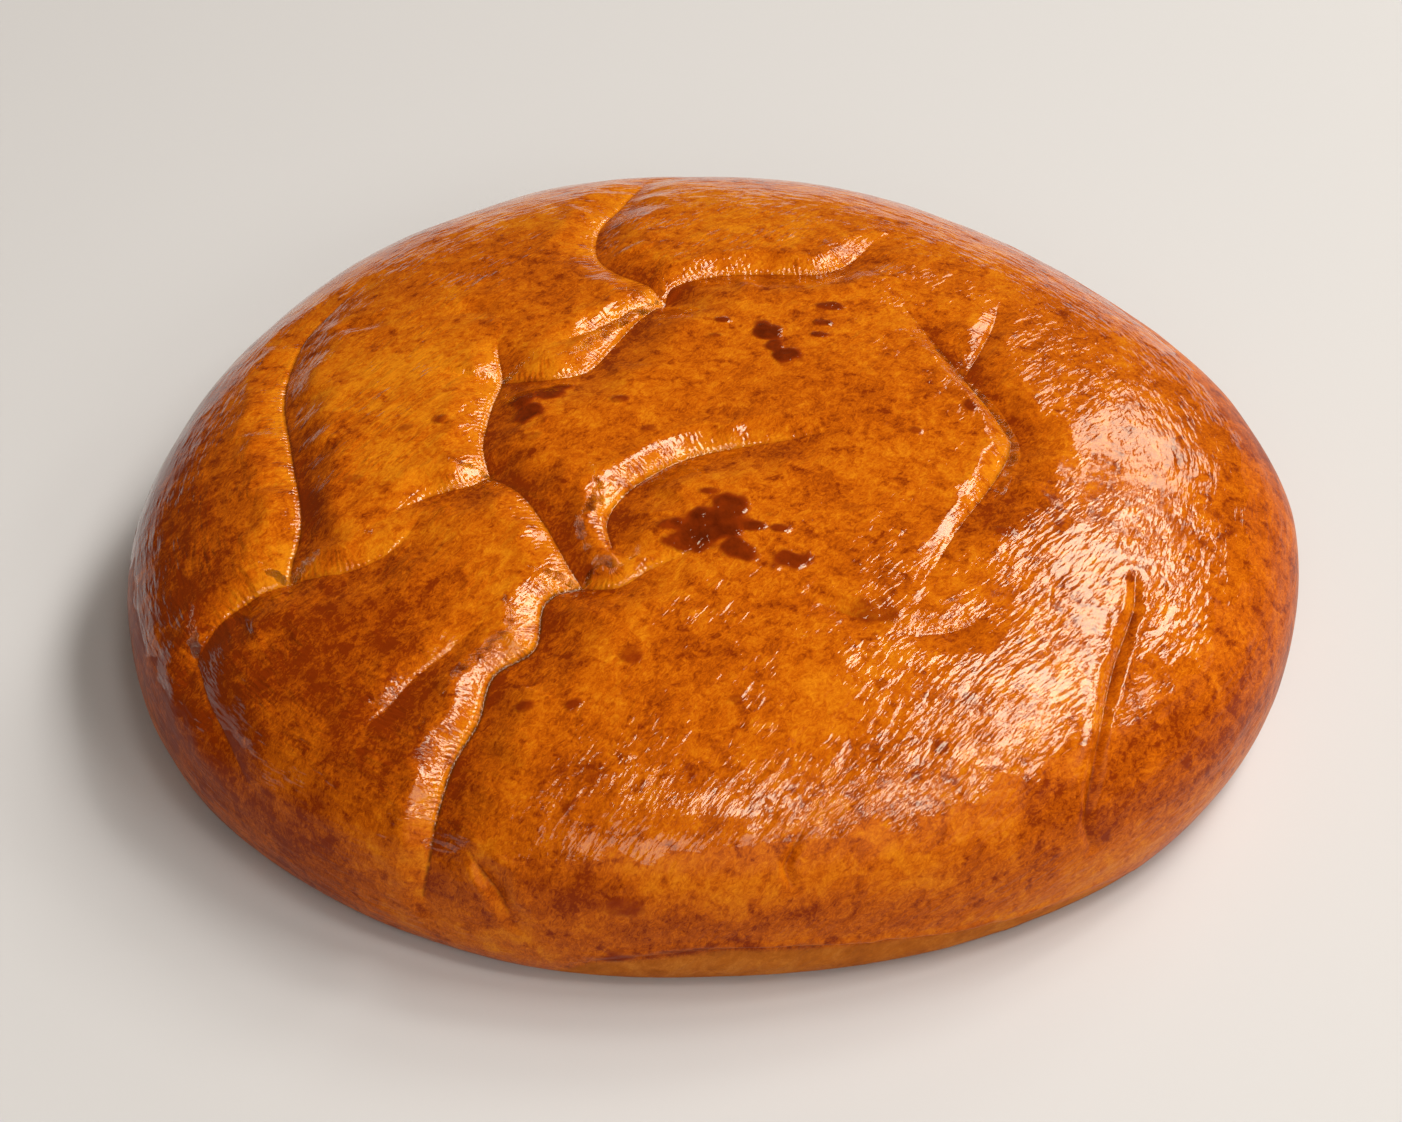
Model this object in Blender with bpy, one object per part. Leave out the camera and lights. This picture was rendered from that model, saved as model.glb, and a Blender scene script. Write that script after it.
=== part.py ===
"""Sheermal: a big round sweet loaf with a glazed, folded crust, baked in one piece.

The loaf is a ball of even triangles, pulled over a domed outline that is waved in plan, and
then swelled and pressed along its folds. Run it with blender --background --python part.py, or from the
text editor.
"""
import math
from collections import namedtuple

import bmesh
import bpy
import numpy as np

# The whole loaf, in metres
LOAF_WIDTH = 0.2530
LOAF_LENGTH = 0.2440
LOAF_HEIGHT = 0.0600
WIDEST_HEIGHT = 0.0216
UNDERCUT = 0.0100

# How square the dome's shoulder is: 2 is an ellipse, more is squarer
SHOULDER = 2.4

# Slow waves of the outline: how many, how far of the radius, and the turn in degrees
OUTLINE_WAVES = (
    (3, 0.0237, 64.5),
    (4, 0.0031, -90.0),
    (6, 0.0033, -90.0),
)

# The folds die out over this much of the skin above the base
BASE_FADE = 0.008

# Slow swells of the whole crust: how wide, how high, and the seed of their random numbers
SWELL_SIZE = 0.032
SWELL_HEIGHT = 0.0006
SWELL_SEED = 1
LATTICE = 64

# Triangles: the ball's halvings, the share of its turn that the skin takes, what is kept
BALL_HALVINGS = 7
SKIN_SHARE = 0.80
KEPT_TRIANGLES = 9600

MM = 0.001

# A fold of the crust. Its route runs over the skin laid flat round the top of the dome, in
# millimetres, x to the right and y to the back. Its depths are spread evenly along it. The
# valley reaches so far to the left and to the right of someone who walks along it, a bead of
# crust rises beside it, and its sharp shares are the part of the depth in the cusp itself.
Fold = namedtuple("Fold", "name route depths left right rise_left rise_right sharp_left sharp_right")

FOLDS = (
    Fold("outer left", [(-84, 57), (-94, 41), (-96, 19), (-90, -5), (-84, -28), (-85, -46)],
         (0.4, 2.4, 3.0, 3.0, 2.8), 12, 9, 0.3, 0.4, 0.3, 0.35),
    Fold("front left", [(-57, -31), (-62, -41), (-72, -46), (-85, -46), (-98, -51), (-106, -60)],
         (0.6, 2.0, 2.8, 3.0, 2.2), 14, 7, 0.5, 0.3, 0.3, 0.35),
    Fold("left step", [(-64, -32), (-56, -26), (-49, -24), (-45, -20)],
         (0.8, 2.6, 3.2), 7, 12, 0.4, 0.2, 0.35, 0.3),
    Fold("left ridge", [(-45, -20), (-47, -11), (-47, 3), (-46, 13), (-47, 22), (-47, 27)],
         (3.0, 2.8, 3.2, 3.2, 0.6), 8, 12, 0.4, 0.2, 0.35, 0.3),
    Fold("middle", [(-46, 13), (-35, 11), (-27, 14), (-22, 22), (-16, 33), (-10, 42)],
         (3.0, 2.2, 2.6, 3.0, 3.2), 6, 15, 0.2, 0.2, 0.35, 0.3),
    Fold("middle twin", [(-31, 25), (-24, 31), (-19, 35), (-14, 39)],
         (0.8, 2.2, 2.4, 1.4), 5, 4, 0.3, 0.2, 0.35, 0.3),
    Fold("back", [(-10, 42), (-14, 49), (-20, 54), (-25, 63), (-25, 77), (-21, 88), (-15, 105)],
         (3.2, 2.6, 2.8, 2.8, 2.2, 1.0), 10, 12, 0.3, 0.2, 0.35, 0.3),
    Fold("back right", [(-10, 42), (-8, 48), (0, 52), (11, 54), (24, 55), (31, 60), (38, 71)],
         (3.2, 2.8, 2.6, 2.6, 2.2, 0.5), 5.5, 13, 0.3, 0.2, 0.35, 0.3),
    Fold("right", [(43, 42), (48, 31), (54, 16), (61, -2), (62, -10), (57, -23), (49, -39), (43, -55)],
         (0.3, 1.6, 2.8, 3.2, 2.8, 1.8, 1.0, 0.2), 12, 5, 0.2, 0.4, 0.3, 0.35),
    Fold("right branch", [(65, 45), (63, 36), (59, 25), (55, 16)],
         (0.3, 1.3, 1.8), 5, 4, 0.2, 0.3, 0.3, 0.35),
    Fold("right twin", [(56, 14), (62, 1), (64, -11), (60, -28)],
         (0.6, 1.4, 1.2, 0.2), 5, 4, 0.2, 0.3, 0.3, 0.35),
    Fold("right tuck", [(48, 30), (50, 22), (52, 15)],
         (0.3, 1.0, 0.4), 4, 3, 0.2, 0.2, 0.3, 0.35),
    Fold("centre", [(27, -9), (14, -12), (-3, -16), (-12, -22), (-18, -29), (-21, -37), (-20, -46)],
         (0.2, 1.6, 2.6, 3.2, 3.6, 3.6, 2.4), 15, 6.5, 0.1, 0.4, 0.3, 0.35),
    Fold("centre left", [(-45, -20), (-38, -28), (-33, -38), (-29, -49), (-26, -55)],
         (2.8, 2.6, 3.0, 3.0, 3.2), 12, 7, 0.2, 0.4, 0.3, 0.35),
    Fold("centre thread", [(-44, -22), (-34, -27), (-26, -31)],
         (0.8, 0.8, 0.2), 4, 4, 0.1, 0.1, 0.4, 0.4),
    Fold("centre foot", [(-26, -55), (-19, -57), (-12, -53), (-2, -49), (5, -49)],
         (3.2, 2.8, 1.6, 0.6, 0.1), 9, 11, 0.4, 0.2, 0.35, 0.3),
    Fold("long front", [(-26, -55), (-33, -60), (-35, -72), (-43, -78), (-46, -89), (-51, -98),
                        (-55, -109), (-59, -119), (-64, -127)],
         (3.2, 3.2, 3.4, 3.6, 3.6, 3.6, 3.2, 2.6, 1.2), 15, 7, 0.1, 0.4, 0.3, 0.35),
    Fold("front nick", [(-49, -117), (-47, -123), (-45, -128), (-44, -135)],
         (0.4, 1.8, 1.8, 0.5), 6, 2.6, 0.2, 0.5, 0.2, 0.4),
    Fold("soft furrow", [(-45, -66), (-53, -73), (-59, -78), (-64, -84), (-71, -90)],
         (0.5, 1.7, 2.0, 1.8, 0.2), 11, 6, 0.1, 0.3, 0.2, 0.4),
    Fold("dimple", [(20, -63), (25, -65), (31, -67), (37, -66)],
         (0.3, 1.2, 1.0, 0.2), 5, 7, 0.4, 0.1, 0.35, 0.3),
    Fold("dimple foot", [(34, -69), (40, -70), (47, -68), (55, -64)],
         (0.2, 1.0, 1.3, 0.2), 5, 7, 0.4, 0.1, 0.35, 0.3),
    Fold("right side", [(85, -46), (84, -56), (80, -70), (78, -83), (77, -96), (78, -106), (83, -111)],
         (0.3, 1.1, 1.4, 1.4, 1.4, 1.2, 0.5), 2.4, 2.6, 0.3, 0.4, 0.3, 0.35),
    Fold("front slit", [(18, -119), (16, -123), (15, -126), (17, -130)],
         (0.2, 1.0, 0.9, 0.2), 2.4, 1.8, 0.4, 0.4, 0.3, 0.4),
    Fold("foot ledge", [(-29, -149), (3, -147), (37, -145), (72, -135), (107, -114)],
         (0.4, 0.9, 1.1, 0.9, 0.3), 2.5, 9, 0.5, 0.0, 0.35, 0.3),
    Fold("left side", [(-111, -53), (-106, -60), (-103, -71), (-97, -92)],
         (0.4, 2.2, 1.8, 0.3), 10, 8, 0.3, 0.4, 0.3, 0.35),
    Fold("far left crease", [(-82, 41), (-77, 40), (-72, 40)],
         (0.8, 0.8, 0.1), 5, 5, 0.1, 0.1, 0.4, 0.4),
    Fold("back left crease", [(-60, 38), (-52, 39), (-45, 35)],
         (0.2, 1.0, 0.3), 7, 8, 0.2, 0.0, 0.4, 0.4),
)

# Where a bead of crust peaks beside its fold, as a share of the valley's reach
LIP_PLACE = 0.85
LIP_SPREAD = 0.35
ROUTE_STEPS = 6
BLEND_POWER = 3.0

# The bank on a fold's sharper side is nearly flat: 1 is a plane
BANK_POWER = 1.1

# Short steps over the skin, in metres and in radians, that give its outward direction
SHORT_STEP = 0.0002
SHORT_TURN = 0.002

# Points this close to the floor are set down on it
BASE_SNAP = 0.00005

GLAZED_CRUST = (0.50, 0.16, 0.025, 1.0)
CRUST_ROUGHNESS = 0.28


def remove_everything():
    """Clear the scene, so that it holds the loaf alone."""
    for thing in list(bpy.data.objects):
        bpy.data.objects.remove(thing, do_unlink=True)


def make_profile(steps=1200):
    """The side view of the loaf, as reach (0 to 1), height and length of skin from the top."""
    turn = np.linspace(0.0, math.pi / 2, steps)
    power = 2.0 / SHOULDER
    dome_reach = np.sin(turn) ** power
    dome_height = WIDEST_HEIGHT + (LOAF_HEIGHT - WIDEST_HEIGHT) * np.cos(turn) ** power
    mean_radius = (LOAF_WIDTH + LOAF_LENGTH) / 4
    side_reach = 1.0 - UNDERCUT / mean_radius * (1.0 - np.cos(turn[1:]))
    side_height = WIDEST_HEIGHT * (1.0 - np.sin(turn[1:]))
    reach = np.concatenate([dome_reach, side_reach])
    height = np.concatenate([dome_height, side_height])
    steps_along = np.hypot(np.diff(reach * mean_radius), np.diff(height))
    length = np.concatenate([[0.0], np.cumsum(steps_along)])
    return reach, height, length


def outline(angle):
    """How far the plan swells out or in at this angle, as a factor near 1."""
    factor = np.ones_like(angle)
    for count, size, turn in OUTLINE_WAVES:
        factor = factor + size * np.cos(count * angle + math.radians(turn))
    return factor


def place_on_loaf(along, angle, profile):
    """The point of the smooth loaf so far along its skin from the top, at this angle."""
    reach, height, length = profile
    skin = length[-1]
    on_skin = np.minimum(along, skin)
    share = np.interp(on_skin, length, reach)
    inward = np.clip(2.0 - along / skin, 0.0, 1.0)
    radius = share * inward * outline(angle) / 2
    across = LOAF_WIDTH * radius * np.cos(angle)
    back = LOAF_LENGTH * radius * np.sin(angle)
    up = np.where(along < skin, np.interp(on_skin, length, height), 0.0)
    return np.stack([across, back, up], axis=-1)


def outward(along, angle, profile):
    """The outward direction of the smooth loaf, from two short steps over its skin."""
    down = place_on_loaf(along + SHORT_STEP, angle, profile)
    down = down - place_on_loaf(along - SHORT_STEP, angle, profile)
    round_ = place_on_loaf(along, angle + SHORT_TURN, profile)
    round_ = round_ - place_on_loaf(along, angle - SHORT_TURN, profile)
    normal = np.cross(down, round_)
    size = np.linalg.norm(normal, axis=1, keepdims=True)
    return normal / np.maximum(size, 1e-12)


def smooth_route(points):
    """A smooth line through a fold's own points, with the share of its length at each."""
    ends = np.array([points[0]] + list(points) + [points[-1]], dtype=float) * MM
    ends[0] = 2 * ends[1] - ends[2]
    ends[-1] = 2 * ends[-2] - ends[-3]
    line = []
    for index in range(1, len(ends) - 2):
        before, start, end, after = ends[index - 1:index + 3]
        for step in range(ROUTE_STEPS):
            t = step / ROUTE_STEPS
            bend = 2 * start + (end - before) * t
            bend = bend + (2 * before - 5 * start + 4 * end - after) * t ** 2
            bend = bend + (3 * start - before - 3 * end + after) * t ** 3
            line.append(bend / 2)
    line.append(ends[-2])
    line = np.array(line)
    run = np.concatenate([[0.0], np.cumsum(np.linalg.norm(np.diff(line, axis=0), axis=1))])
    return line, run / run[-1]


def nearest_on_route(plan, line, share):
    """Distance to the route, which side it is on, and how far along the nearest point lies."""
    best = np.full(len(plan), 1e9)
    side = np.ones(len(plan))
    where = np.zeros(len(plan))
    for index in range(len(line) - 1):
        start = line[index]
        step = line[index + 1] - start
        offset = plan - start
        t = np.clip(offset @ step / (step @ step), 0.0, 1.0)
        gap = offset - t[:, None] * step
        distance = np.hypot(gap[:, 0], gap[:, 1])
        closer = distance < best
        best = np.where(closer, distance, best)
        cross = step[0] * offset[:, 1] - step[1] * offset[:, 0]
        side = np.where(closer, np.where(cross > 0, 1.0, -1.0), side)
        where = np.where(closer, share[index] + t * (share[index + 1] - share[index]), where)
    return best, side, where


def press_folds(plan):
    """How far the skin stands proud of the smooth loaf, less where folds press it in."""
    pressed = np.zeros(len(plan))
    raised = np.zeros(len(plan))
    for fold in FOLDS:
        line, share = smooth_route(fold.route)
        distance, side, where = nearest_on_route(plan, line, share)
        left = side > 0
        depth = np.interp(where, np.linspace(0, 1, len(fold.depths)), fold.depths) * MM
        rise = np.where(left, fold.rise_left, fold.rise_right) * depth / max(fold.depths)
        sharp = np.where(left, fold.sharp_left, fold.sharp_right)
        reach = np.where(left, fold.left, fold.right) * MM
        x = np.clip(distance / reach, 0.0, 1.0)
        lip = np.where(left, fold.sharp_left > fold.sharp_right, fold.sharp_right > fold.sharp_left)
        soft = np.where(lip, (1 - x) ** BANK_POWER, 0.5 + 0.5 * np.cos(math.pi * x))
        pressed = pressed + (depth * (sharp * (1 - x) ** 3 + (1 - sharp) * soft)) ** BLEND_POWER
        bead = rise * np.exp(-((distance / reach - LIP_PLACE) / LIP_SPREAD) ** 2)
        raised = np.maximum(raised, bead)
    return raised - pressed ** (1 / BLEND_POWER)


def slow_swells(points):
    """Smooth noise from -1 to 1, from random numbers on the corners of a lattice."""
    shape = (LATTICE, LATTICE, LATTICE)
    lattice = np.random.default_rng(SWELL_SEED).uniform(-1.0, 1.0, shape)
    scaled = points / SWELL_SIZE
    low = np.floor(scaled).astype(int)
    part = scaled - low
    part = part * part * (3 - 2 * part)
    total = np.zeros(len(points))
    for corner in range(8):
        pick = np.array([corner & 1, corner >> 1 & 1, corner >> 2 & 1])
        cell = (low + pick) % LATTICE
        weight = np.prod(np.where(pick == 1, part, 1 - part), axis=1)
        total = total + weight * lattice[cell[:, 0], cell[:, 1], cell[:, 2]]
    return total


def shape_loaf(mesh):
    """Pull the ball over the loaf's outline and press the folds into its skin."""
    profile = make_profile()
    skin = profile[2][-1]
    ball = np.empty(len(mesh.vertices) * 3)
    mesh.vertices.foreach_get("co", ball)
    ball = ball.reshape(-1, 3)
    from_top = np.arccos(np.clip(ball[:, 2], -1.0, 1.0)) / math.pi
    angle = np.arctan2(ball[:, 1], ball[:, 0])
    on_skin = from_top / SKIN_SHARE * skin
    on_base = skin + (from_top - SKIN_SHARE) / (1 - SKIN_SHARE) * skin
    along = np.where(from_top < SKIN_SHARE, on_skin, on_base)
    plan = np.stack([along * np.cos(angle), along * np.sin(angle)], axis=1)
    fade = np.clip((skin - along) / BASE_FADE, 0.0, 1.0)
    points = place_on_loaf(along, angle, profile)
    proud = press_folds(plan) + SWELL_HEIGHT * slow_swells(points)
    proud = proud * fade * fade * (3 - 2 * fade)
    points = points + outward(along, angle, profile) * proud[:, None]
    points[:, 2] = np.maximum(points[:, 2], 0.0)
    mesh.vertices.foreach_set("co", points.ravel())
    mesh.update()


def thin_out(loaf):
    """Keep the triangles where the crust bends and drop them where it is plain."""
    thin = loaf.modifiers.new("Thin out", "DECIMATE")
    thin.ratio = KEPT_TRIANGLES / len(loaf.data.polygons)
    graph = bpy.context.evaluated_depsgraph_get()
    mesh = bpy.data.meshes.new_from_object(loaf.evaluated_get(graph))
    loaf.modifiers.remove(thin)
    old = loaf.data
    loaf.data = mesh
    bpy.data.meshes.remove(old)


def stand_centred(mesh):
    """Put the middle of the loaf's box over the origin, with its base flat at zero."""
    points = np.empty(len(mesh.vertices) * 3)
    mesh.vertices.foreach_get("co", points)
    points = points.reshape(-1, 3)
    middle = (points.max(axis=0) + points.min(axis=0)) / 2
    points[:, :2] -= middle[:2]
    points[points[:, 2] < BASE_SNAP, 2] = 0.0
    mesh.vertices.foreach_set("co", points.ravel())
    mesh.update()


def crust_material():
    """Egg-glazed crust: amber brown under a clear gloss."""
    material = bpy.data.materials.new("glazed_crust")
    material.use_nodes = True
    shader = material.node_tree.nodes["Principled BSDF"]
    shader.inputs["Base Color"].default_value = GLAZED_CRUST
    shader.inputs["Roughness"].default_value = CRUST_ROUGHNESS
    shader.inputs["Metallic"].default_value = 0.0
    material.diffuse_color = GLAZED_CRUST
    return material


def make_loaf(collection):
    """The whole loaf, one closed body."""
    mesh = bpy.data.meshes.new("sheermal")
    ball = bmesh.new()
    bmesh.ops.create_icosphere(ball, subdivisions=BALL_HALVINGS, radius=1.0)
    ball.to_mesh(mesh)
    ball.free()
    shape_loaf(mesh)
    loaf = bpy.data.objects.new("sheermal", mesh)
    collection.objects.link(loaf)
    thin_out(loaf)
    stand_centred(loaf.data)
    loaf.data.materials.append(crust_material())
    loaf.data.shade_smooth()
    return loaf


def main():
    remove_everything()
    collection = bpy.data.collections.new("sheermal_loaf")
    bpy.context.scene.collection.children.link(collection)
    loaf = make_loaf(collection)
    size = loaf.dimensions
    print("loaf", [round(side, 4) for side in size], len(loaf.data.polygons), "faces")


main()
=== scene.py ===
# %% [markdown]
# # Sheermal
# A sheermal is a round loaf of soft, sweet dough. It is washed with egg and sugar before it
# is baked, so its crust comes out amber brown and glossy, and where the dough was gathered
# the crust sinks into folds. The frame holds the loaf's plain solid. This lesson builds the
# crust that is seen, at the same size and in the same place, and then its glaze.

# %% Load the frame
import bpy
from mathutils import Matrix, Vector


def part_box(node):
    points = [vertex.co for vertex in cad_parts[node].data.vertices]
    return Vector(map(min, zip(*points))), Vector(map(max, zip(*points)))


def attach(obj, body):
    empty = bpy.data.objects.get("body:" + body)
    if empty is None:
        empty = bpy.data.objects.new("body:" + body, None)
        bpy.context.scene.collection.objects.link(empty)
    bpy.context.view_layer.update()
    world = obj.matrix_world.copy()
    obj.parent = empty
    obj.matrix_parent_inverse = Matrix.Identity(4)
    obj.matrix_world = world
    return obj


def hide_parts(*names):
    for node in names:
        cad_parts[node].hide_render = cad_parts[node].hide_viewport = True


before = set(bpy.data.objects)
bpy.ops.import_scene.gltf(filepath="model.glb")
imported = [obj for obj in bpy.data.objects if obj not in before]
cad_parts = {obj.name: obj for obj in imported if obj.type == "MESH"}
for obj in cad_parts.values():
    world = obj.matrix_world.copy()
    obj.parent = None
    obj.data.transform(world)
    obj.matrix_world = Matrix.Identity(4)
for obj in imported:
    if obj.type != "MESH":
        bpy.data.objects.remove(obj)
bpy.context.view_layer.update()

import math
from collections import namedtuple

import bmesh
import bpy
import numpy as np
from mathutils import Vector

MM = 0.001

# %% [markdown]
# ## The smooth loaf
# Under all its folds the loaf is a dome. A half ellipse would be too pointed at the rim, so
# the side view is a superellipse, whose power says how square the shoulder is. A quarter
# ellipse tucks in below the widest ring. Seen from above the loaf isn't quite round: slow
# waves swell its outline. The sizes are those that the solid was made from.

# %% Sizes of the smooth loaf
LOAF_WIDTH = 0.2530
LOAF_LENGTH = 0.2440
LOAF_HEIGHT = 0.0600
WIDEST_HEIGHT = 0.0216
UNDERCUT = 0.0100
SHOULDER = 2.4
OUTLINE_WAVES = (
    (3, 0.0237, 64.5),
    (4, 0.0031, -90.0),
    (6, 0.0033, -90.0),
)


def make_profile(steps=1200):
    """The side view of the loaf, as reach (0 to 1), height and length of skin from the top."""
    turn = np.linspace(0.0, math.pi / 2, steps)
    power = 2.0 / SHOULDER
    dome_reach = np.sin(turn) ** power
    dome_height = WIDEST_HEIGHT + (LOAF_HEIGHT - WIDEST_HEIGHT) * np.cos(turn) ** power
    mean_radius = (LOAF_WIDTH + LOAF_LENGTH) / 4
    side_reach = 1.0 - UNDERCUT / mean_radius * (1.0 - np.cos(turn[1:]))
    side_height = WIDEST_HEIGHT * (1.0 - np.sin(turn[1:]))
    reach = np.concatenate([dome_reach, side_reach])
    height = np.concatenate([dome_height, side_height])
    steps_along = np.hypot(np.diff(reach * mean_radius), np.diff(height))
    length = np.concatenate([[0.0], np.cumsum(steps_along)])
    return reach, height, length


PROFILE = make_profile()
SKIN = PROFILE[2][-1]
print("skin from the top of the dome to the base, mm:", round(SKIN / MM, 1))

# %% [markdown]
# ## From the skin to the loaf
# Every feature of the crust is placed on the skin laid flat: so far from the top of the dome,
# in this direction. Two functions carry a flat point to the loaf, and give the direction
# that points out of the loaf there, which is the way that folds are pressed and wrinkles rise.


# %% Carry a flat point to the loaf
def outline(angle):
    """How far the plan swells out or in at this angle, as a factor near 1."""
    factor = np.ones_like(angle)
    for count, size, turn in OUTLINE_WAVES:
        factor = factor + size * np.cos(count * angle + math.radians(turn))
    return factor


def place_on_loaf(along, angle):
    """The point of the smooth loaf so far along its skin from the top, at this angle."""
    reach, height, length = PROFILE
    on_skin = np.minimum(along, SKIN)
    share = np.interp(on_skin, length, reach)
    inward = np.clip(2.0 - along / SKIN, 0.0, 1.0)
    radius = share * inward * outline(angle) / 2
    across = LOAF_WIDTH * radius * np.cos(angle)
    back = LOAF_LENGTH * radius * np.sin(angle)
    up = np.where(along < SKIN, np.interp(on_skin, length, height), 0.0)
    return np.stack([across, back, up], axis=-1)


def outward(along, angle):
    """The outward direction of the smooth loaf, from two short steps over its skin."""
    step = 0.0002
    turn = 0.002
    down = place_on_loaf(along + step, angle) - place_on_loaf(along - step, angle)
    round_ = place_on_loaf(along, angle + turn) - place_on_loaf(along, angle - turn)
    normal = np.cross(down, round_)
    size = np.linalg.norm(normal, axis=1, keepdims=True)
    return normal / np.maximum(size, 1e-12)


# %% [markdown]
# ## The folds
# A fold is a line where the crust sinks in between two rounded lips. Drawing each by hand
# would take a sculptor hours. Here each fold is a short route over the flat skin, in
# millimetres, with its depths spread evenly along it, how far its valley reaches to the left
# and right of someone who walks along it, the height of the bead on each side, how much of
# its depth is in the sharp cusp on each side, and how clear a line the two lips draw where
# they touch. The solid has the same folds, so the two agree.

# %% The folds of this loaf
Fold = namedtuple("Fold", "name route depths left right rise_left rise_right sharp_left sharp_right line")

FOLDS = (
    Fold("outer left", [(-84, 57), (-94, 41), (-96, 19), (-90, -5), (-84, -28), (-85, -46)],
         (0.4, 2.4, 3.0, 3.0, 2.8), 12, 9, 0.3, 0.4, 0.3, 0.35, 0.7),
    Fold("front left", [(-57, -31), (-62, -41), (-72, -46), (-85, -46), (-98, -51), (-106, -60)],
         (0.6, 2.0, 2.8, 3.0, 2.2), 14, 7, 0.5, 0.3, 0.3, 0.35, 0.3),
    Fold("left step", [(-64, -32), (-56, -26), (-49, -24), (-45, -20)],
         (0.8, 2.6, 3.2), 7, 12, 0.4, 0.2, 0.35, 0.3, 0.4),
    Fold("left ridge", [(-45, -20), (-47, -11), (-47, 3), (-46, 13), (-47, 22), (-47, 27)],
         (3.0, 2.8, 3.2, 3.2, 0.6), 8, 12, 0.4, 0.2, 0.35, 0.3, 0.5),
    Fold("middle", [(-46, 13), (-35, 11), (-27, 14), (-22, 22), (-16, 33), (-10, 42)],
         (3.0, 2.2, 2.6, 3.0, 3.2), 6, 15, 0.2, 0.2, 0.35, 0.3, 0.4),
    Fold("middle twin", [(-31, 25), (-24, 31), (-19, 35), (-14, 39)],
         (0.8, 2.2, 2.4, 1.4), 5, 4, 0.3, 0.2, 0.35, 0.3, 0.3),
    Fold("back", [(-10, 42), (-14, 49), (-20, 54), (-25, 63), (-25, 77), (-21, 88), (-15, 105)],
         (3.2, 2.6, 2.8, 2.8, 2.2, 1.0), 10, 12, 0.3, 0.2, 0.35, 0.3, 0.2),
    Fold("back right", [(-10, 42), (-8, 48), (0, 52), (11, 54), (24, 55), (31, 60), (38, 71)],
         (3.2, 2.8, 2.6, 2.6, 2.2, 0.5), 5.5, 13, 0.3, 0.2, 0.35, 0.3, 0.3),
    Fold("right", [(43, 42), (48, 31), (54, 16), (61, -2), (62, -10), (57, -23), (49, -39), (43, -55)],
         (0.3, 1.6, 2.8, 3.2, 2.8, 1.8, 1.0, 0.2), 12, 5, 0.2, 0.4, 0.3, 0.35, 0.7),
    Fold("right branch", [(65, 45), (63, 36), (59, 25), (55, 16)],
         (0.3, 1.3, 1.8), 5, 4, 0.2, 0.3, 0.3, 0.35, 0.6),
    Fold("right twin", [(56, 14), (62, 1), (64, -11), (60, -28)],
         (0.6, 1.4, 1.2, 0.2), 5, 4, 0.2, 0.3, 0.3, 0.35, 0.5),
    Fold("right tuck", [(48, 30), (50, 22), (52, 15)],
         (0.3, 1.0, 0.4), 4, 3, 0.2, 0.2, 0.3, 0.35, 0.4),
    Fold("centre", [(27, -9), (14, -12), (-3, -16), (-12, -22), (-18, -29), (-21, -37), (-20, -46)],
         (0.2, 1.6, 2.6, 3.2, 3.6, 3.6, 2.4), 15, 6.5, 0.1, 0.4, 0.3, 0.35, 0.5),
    Fold("centre left", [(-45, -20), (-38, -28), (-33, -38), (-29, -49), (-26, -55)],
         (2.8, 2.6, 3.0, 3.0, 3.2), 12, 7, 0.2, 0.4, 0.3, 0.35, 0.6),
    Fold("centre thread", [(-44, -22), (-34, -27), (-26, -31)],
         (0.8, 0.8, 0.2), 4, 4, 0.1, 0.1, 0.4, 0.4, 0.3),
    Fold("centre foot", [(-26, -55), (-19, -57), (-12, -53), (-2, -49), (5, -49)],
         (3.2, 2.8, 1.6, 0.6, 0.1), 9, 11, 0.4, 0.2, 0.35, 0.3, 0.3),
    Fold("long front", [(-26, -55), (-33, -60), (-35, -72), (-43, -78), (-46, -89), (-51, -98),
                        (-55, -109), (-59, -119), (-64, -127)],
         (3.2, 3.2, 3.4, 3.6, 3.6, 3.6, 3.2, 2.6, 1.2), 15, 7, 0.1, 0.4, 0.3, 0.35, 1.0),
    Fold("front nick", [(-49, -117), (-47, -123), (-45, -128), (-44, -135)],
         (0.4, 1.8, 1.8, 0.5), 6, 2.6, 0.2, 0.5, 0.2, 0.4, 1.0),
    Fold("soft furrow", [(-45, -66), (-53, -73), (-59, -78), (-64, -84), (-71, -90)],
         (0.5, 1.7, 2.0, 1.8, 0.2), 11, 6, 0.1, 0.3, 0.2, 0.4, 0.3),
    Fold("dimple", [(20, -63), (25, -65), (31, -67), (37, -66)],
         (0.3, 1.2, 1.0, 0.2), 5, 7, 0.4, 0.1, 0.35, 0.3, 0.3),
    Fold("dimple foot", [(34, -69), (40, -70), (47, -68), (55, -64)],
         (0.2, 1.0, 1.3, 0.2), 5, 7, 0.4, 0.1, 0.35, 0.3, 0.3),
    Fold("right side", [(85, -46), (84, -56), (80, -70), (78, -83), (77, -96), (78, -106), (83, -111)],
         (0.3, 1.1, 1.4, 1.4, 1.4, 1.2, 0.5), 2.4, 2.6, 0.3, 0.4, 0.3, 0.35, 1.0),
    Fold("front slit", [(18, -119), (16, -123), (15, -126), (17, -130)],
         (0.2, 1.0, 0.9, 0.2), 2.4, 1.8, 0.4, 0.4, 0.3, 0.4, 1.0),
    Fold("foot ledge", [(-29, -149), (3, -147), (37, -145), (72, -135), (107, -114)],
         (0.4, 0.9, 1.1, 0.9, 0.3), 2.5, 9, 0.5, 0.0, 0.35, 0.3, 0.5),
    Fold("left side", [(-111, -53), (-106, -60), (-103, -71), (-97, -92)],
         (0.4, 2.2, 1.8, 0.3), 10, 8, 0.3, 0.4, 0.3, 0.35, 0.3),
    Fold("far left crease", [(-82, 41), (-77, 40), (-72, 40)],
         (0.8, 0.8, 0.1), 5, 5, 0.1, 0.1, 0.4, 0.4, 0.2),
    Fold("back left crease", [(-60, 38), (-52, 39), (-45, 35)],
         (0.2, 1.0, 0.3), 7, 8, 0.2, 0.0, 0.4, 0.4, 0.2),
)
LIP_PLACE = 0.85
LIP_SPREAD = 0.35
ROUTE_STEPS = 6
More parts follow.
